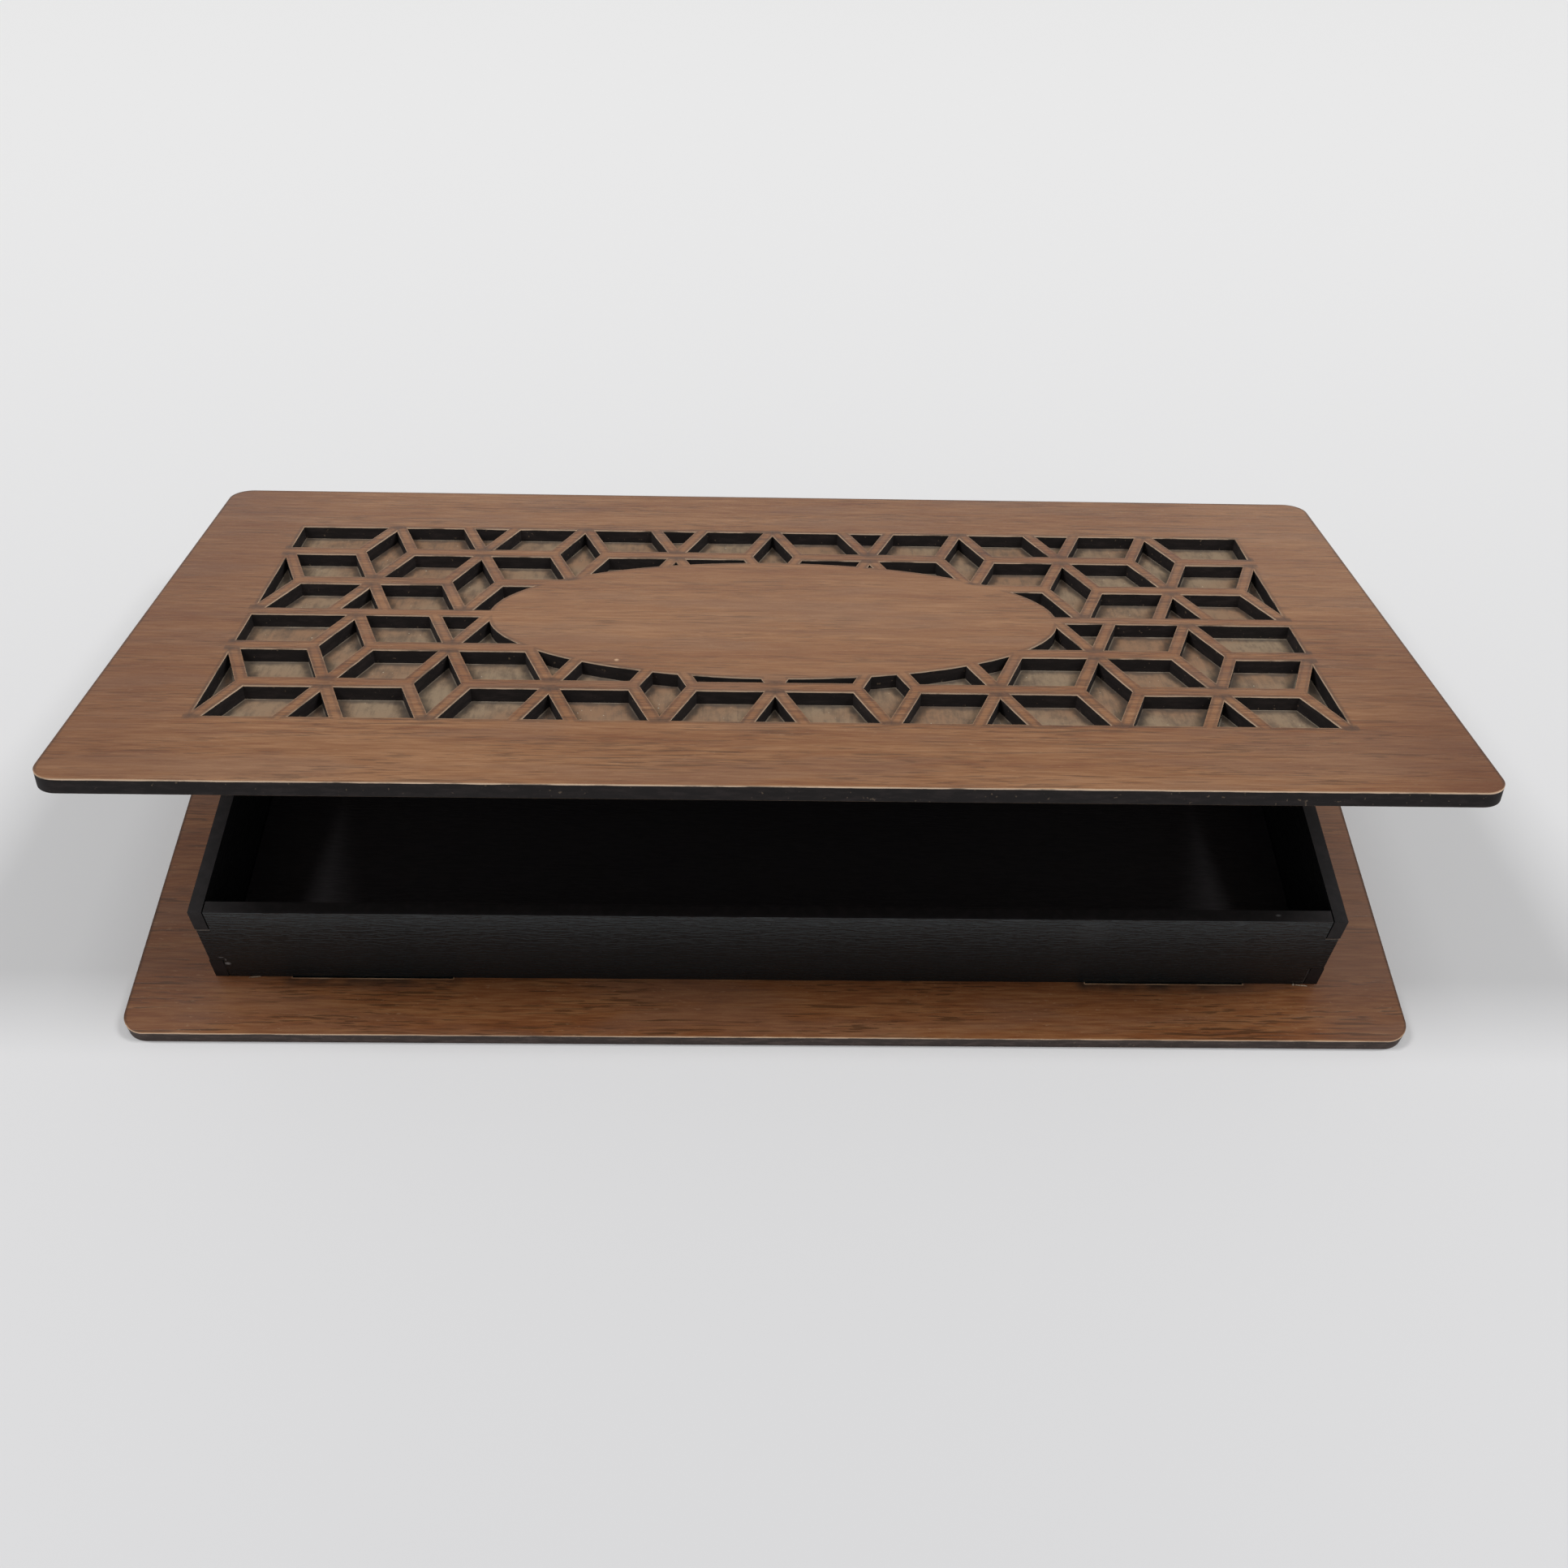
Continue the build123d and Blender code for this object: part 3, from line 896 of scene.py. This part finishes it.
def within_cells(tree, x, y):
    """Distance in mm from the cells' cut walls, positive in the cells and negative on the wood."""
    row, down, across = lattice_row(tree, x, y)
    slants = past_slants(tree, x, row, down, across)
    strips = calc(tree, "MINIMUM", slants, past_rows(tree, row, down, across))
    oval_and_window = calc(tree, "MINIMUM", past_oval(tree, x, y), within_window(tree, x, y))
    nearest = calc(tree, "MINIMUM", strips, oval_and_window)
    closed_up = times(
        tree,
        calc(tree, "LESS_THAN", calc(tree, "ABSOLUTE", x), closed_up_half_mm),
        calc(tree, "LESS_THAN", y, 0.0),
        calc(tree, "GREATER_THAN", y, -oval_half_depth_mm - closed_up_half_mm),
    )
    return calc(tree, "MULTIPLY_ADD", closed_up, -far_off_mm, nearest)


def star_smudges(tree, place, x, y):
    """Smoke where strips meet in a star, from 0 to its share, kept off the oval and the border."""
    row, down, across = lattice_row(tree, x, y)
    above = calc(tree, "MULTIPLY", down, row_pitch_mm)
    below = calc(tree, "SUBTRACT", row_pitch_mm, above)
    off_above = calc(tree, "SUBTRACT", above, star_smudge_off_mm)
    off_below = calc(tree, "SUBTRACT", below, star_smudge_off_mm)
    across_below = calc(tree, "SUBTRACT", column_pitch_mm, across)
    star_above = in_ellipse(tree, across, off_above, *star_smudge_half_mm)
    star_below = in_ellipse(tree, across_below, off_below, *star_smudge_half_mm)
    to_star = calc(tree, "MINIMUM", star_above, star_below)
    wander = face_noise(tree, place, star_smudge_wander_mm, 41.0)
    smudge = calc(tree, "MULTIPLY_ADD", wander, star_smudge_waver, to_star)
    smudge = rise(tree, smudge, *star_smudge_fade)
    in_window = calc(tree, "GREATER_THAN", within_window(tree, x, y), -smudge_overlap_mm)
    off_oval = calc(tree, "GREATER_THAN", past_oval(tree, x, y), -smudge_overlap_mm)
    among_strips = calc(tree, "MULTIPLY", in_window, off_oval)
    return times(tree, smudge, among_strips, star_smudge_share)


def lid_areas(tree, x, y, colour):
    """A lighter middle and right back corner, and a darker left end and right front corner."""
    from_middle = in_ellipse(tree, x, y, *lid_middle_half_mm)
    middle = rise(tree, from_middle, *lid_middle_fade, at_high=lid_middle_share)
    colour = blend_colour(tree, middle, colour, lid_light)
    left = times(tree, rise(tree, x, *lid_left_x_mm), lid_left_share)
    right_front = rise(tree, x, *lid_front_x_mm)
    right_front = times(tree, right_front, rise(tree, y, *lid_front_y_mm), lid_front_share)
    colour = blend_colour(tree, calc(tree, "MAXIMUM", left, right_front), colour, lid_dark)
    right_back = rise(tree, x, *lid_back_x_mm)
    right_back = times(tree, right_back, rise(tree, y, *lid_back_y_mm), lid_back_share)
    return blend_colour(tree, right_back, colour, lid_light)


def lattice_marks(tree, place, colour):
    """Marks along the lattice's cuts, smoke smudges at its stars, and a pale fleck on the oval."""
    x, y, z = millimetres(tree, place)
    window_y = calc(tree, "SUBTRACT", y, lattice_shift_mm)
    colour = lid_areas(tree, x, y, colour)
    smudges = star_smudges(tree, place, x, window_y)
    colour = blend_colour(tree, smudges, colour, smoke_brown)
    colour = cut_marks(
        tree,
        place,
        colour,
        calc(tree, "MULTIPLY", within_cells(tree, x, window_y), -1.0),
        seed=42.0,
        smoke_mm=1.05,
        smoke_share=0.52,
        rim_mm=-0.04,
        rim_share=0.34,
    )
    fleck = times(tree, nick(tree, x, y, *oval_fleck), oval_fleck_share)
    return blend_colour(tree, fleck, colour, pale_rim)


lid_finish = plate_finish(
    "walnut lid",
    seed=31.0,
    tone=lid_tone,
    mark_share=lid_mark_share,
    edge_dark=lid_edge_dark,
    edge_light=lid_edge_light,
    own_marks=lattice_marks,
    place_in_plate=lid_place,
)
dress("lid_lattice_plate", lid_finish)

# The backing panel is raw board, seen only through the lattice's cells.
# It is scratched from front to back, darkened by painted shade beside the walls of the cells, and
# burnt at its own cut edges.
raw_olive = (0.262, 0.188, 0.119, 1.0)
raw_brown = (0.252, 0.144, 0.081, 1.0)
raw_dark = (0.115, 0.078, 0.052, 1.0)
raw_fleck = (0.62, 0.58, 0.46, 1.0)
raw_patch_mm = (38, 26, through_board_mm)
raw_scratch_mm = (0.9, 8, through_board_mm)
raw_scratch_height = 0.00008
raw_cloud_mm = (4.0, 5.0, through_board_mm)
raw_fleck_mm = (0.7, 0.7, through_board_mm)
raw_dark_share = 0.8
raw_fleck_share = 0.8
cell_corner_shade = (0.045, 0.036, 0.030, 1.0)
cell_shade_mm = (1.0, -0.9)
cell_shade_wander_mm = (2.6, 2.6, through_board_mm)
cell_shade_waver_mm = 2.6
cell_shade_share = 0.75
glue_line = (0.36, 0.30, 0.22, 1.0)
glue_line_mm = (0.36, 0.22)
glue_patch_mm = (9, 9, through_board_mm)
glue_line_share = 0.45
raw_cut_low = (0.040, 0.028, 0.021, 1.0)
raw_cut_high = (0.105, 0.072, 0.050, 1.0)
raw_soot_mm = (3.0, 3.0, 0.8)
lid_upward = (0.0, math.sin(standing_angle), math.cos(standing_angle))

finish, tree, shader, place = new_finish("raw backing board")
place = lid_place(tree, place)
patches = stretched_noise(tree, place, raw_patch_mm, 50.0, detail=2.0)
raw = blend_colour(tree, rise(tree, patches, 0.40, 0.62), raw_olive, raw_brown)
scratches = stretched_noise(tree, place, raw_scratch_mm, 51.0, roughness=0.7, distortion=0.3)
clouds = stretched_noise(tree, place, raw_cloud_mm, 52.0, detail=5.0, roughness=0.7)
raw_tone = calc(tree, "MULTIPLY_ADD", scratches, 0.35, calc(tree, "MULTIPLY", clouds, 0.65))
raw = blend_colour(tree, rise(tree, raw_tone, 0.58, 0.34, at_high=raw_dark_share), raw, raw_dark)
flecks = stretched_noise(tree, place, raw_fleck_mm, 54.0, detail=1.0)
raw = blend_colour(tree, rise(tree, flecks, 0.76, 0.80, at_high=raw_fleck_share), raw, raw_fleck)
x, y, z = millimetres(tree, place)
from_wall = within_cells(tree, x, calc(tree, "SUBTRACT", y, lattice_shift_mm))
wander = stretched_noise(tree, place, cell_shade_wander_mm, 53.0)
# Painted shade: darker beside the walls of the cells, in the corners of the recesses.
cell_shade = rise(tree, calc(tree, "MULTIPLY_ADD", wander, -cell_shade_waver_mm, from_wall), *cell_shade_mm)
raw = blend_colour(tree, times(tree, cell_shade, cell_shade_share), raw, cell_corner_shade)
squeezed = rise(tree, stretched_noise(tree, place, glue_patch_mm, 55.0), 0.38, 0.60)
at_wall = times(tree, rise(tree, from_wall, *glue_line_mm), squeezed, glue_line_share)
raw = blend_colour(tree, at_wall, raw, glue_line)
outward = add_node(tree, "ShaderNodeTexCoord").outputs["Normal"]
upright = add_node(
    tree, "ShaderNodeVectorMath", {0: outward, 1: lid_upward}, operation="DOT_PRODUCT"
)
upright = calc(tree, "ABSOLUTE", upright.outputs["Value"])
on_cut = calc(tree, "LESS_THAN", upright, cut_edge_below)
soot = stretched_noise(tree, place, raw_soot_mm, 56.0)
burnt = blend_colour(tree, rise(tree, soot, 0.35, 0.7), raw_cut_low, raw_cut_high)
fill_inputs(
    tree,
    shader,
    {
        "Base Color": blend_colour(tree, on_cut, raw, burnt),
        "Roughness": 0.8,
        "Normal": relief_normal(tree, scratches, 0.5, raw_scratch_height),
    },
)
dress("lid_backing_panel", finish)

# Both hinges are small pressed brass butts, screwed to the rear wall and to the lid plate.
# Their leaves, pins and screws share one slightly dull brass.
brass_dull = (0.42, 0.27, 0.10, 1.0)
brass_bright = (0.70, 0.48, 0.20, 1.0)
brass_wear_mm = (3.5, 0.5, 0.5)
brass_smooth = 0.22
brass_rougher = 0.25

finish, tree, shader, place = new_finish("dull brass")
wear = stretched_noise(tree, place, brass_wear_mm, 61.0, detail=4.0, roughness=0.65)
fill_inputs(
    tree,
    shader,
    {
        "Base Color": blend_colour(tree, rise(tree, wear, 0.35, 0.7), brass_dull, brass_bright),
        "Roughness": calc(tree, "MULTIPLY_ADD", wear, brass_rougher, brass_smooth),
        "Metallic": 1.0,
    },
)
for node in (
    "left_hinge_fixed_leaf",
    "left_hinge_moving_leaf",
    "left_hinge_pin",
    "right_hinge_fixed_leaf",
    "right_hinge_moving_leaf",
    "right_hinge_pin",
    "tray_leaf_screws",
    "lid_leaf_screws",
):
    dress(node, finish)
